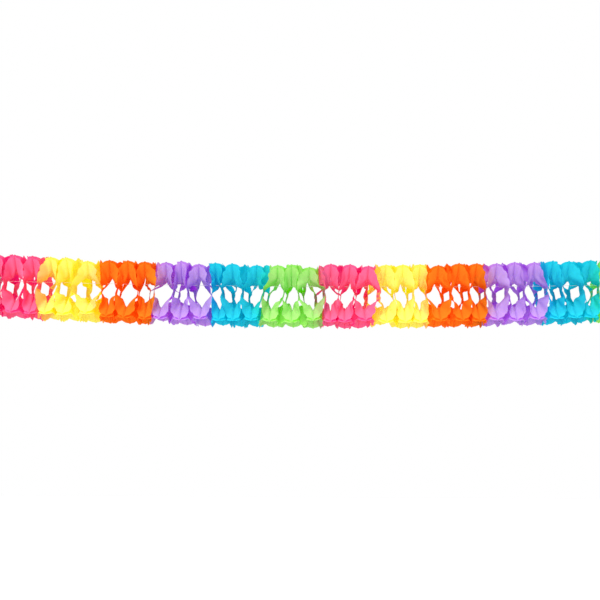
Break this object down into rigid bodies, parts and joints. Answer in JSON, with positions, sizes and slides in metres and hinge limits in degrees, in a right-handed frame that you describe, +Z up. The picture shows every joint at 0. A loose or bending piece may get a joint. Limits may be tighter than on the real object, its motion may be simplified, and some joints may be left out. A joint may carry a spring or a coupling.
{
  "type": "tissue paper garland",
  "caption": "Long hanging garland of die-cut tissue leaves in bands of six colours, glued so that it opens like a honeycomb, on a thread between two end cards.",
  "frame": {"origin": "centre of the garland's box, on its mid plane from front to back", "axes": "+X along the garland towards its green end, +Y from front to back, +Z up as it hangs"},
  "size_m": [1.628, 0.16, 0.1774],
  "materials": {
    "pink_tissue": "thin matte tissue paper, see-through against light",
    "yellow_tissue": "thin matte tissue paper, see-through against light",
    "orange_tissue": "thin matte tissue paper, see-through against light",
    "purple_tissue": "thin matte tissue paper, see-through against light",
    "blue_tissue": "thin matte tissue paper, see-through against light",
    "green_tissue": "thin matte tissue paper, see-through against light",
    "card": "matte white card",
    "thread": "twisted white cotton"
  },
  "bodies": {
    "root": {"cell_01_pink": "pink_tissue", "cell_02_pink": "pink_tissue", "cell_03_pink": "pink_tissue", "cell_04_yellow": "yellow_tissue", "cell_05_yellow": "yellow_tissue", "cell_06_yellow": "yellow_tissue", "cell_07_orange": "orange_tissue", "cell_08_orange": "orange_tissue", "cell_09_orange": "orange_tissue", "cell_10_purple": "purple_tissue", "cell_11_purple": "purple_tissue", "cell_12_purple": "purple_tissue", "cell_13_blue": "blue_tissue", "cell_14_blue": "blue_tissue", "cell_15_blue": "blue_tissue", "cell_16_green": "green_tissue", "cell_17_green": "green_tissue", "cell_18_green": "green_tissue", "cell_19_pink": "pink_tissue", "cell_20_pink": "pink_tissue", "cell_21_pink": "pink_tissue", "cell_22_yellow": "yellow_tissue", "cell_23_yellow": "yellow_tissue", "cell_24_yellow": "yellow_tissue", "cell_25_orange": "orange_tissue", "cell_26_orange": "orange_tissue", "cell_27_orange": "orange_tissue", "cell_28_purple": "purple_tissue", "cell_29_purple": "purple_tissue", "cell_30_purple": "purple_tissue", "cell_31_blue": "blue_tissue", "cell_32_blue": "blue_tissue", "cell_33_blue": "blue_tissue", "cell_34_green": "green_tissue", "cell_35_green": "green_tissue", "cell_36_green": "green_tissue", "end_card_left": "card", "knot_left": "thread", "end_card_right": "card", "knot_right": "thread", "thread": "thread"}
  },
  "joints": []
}
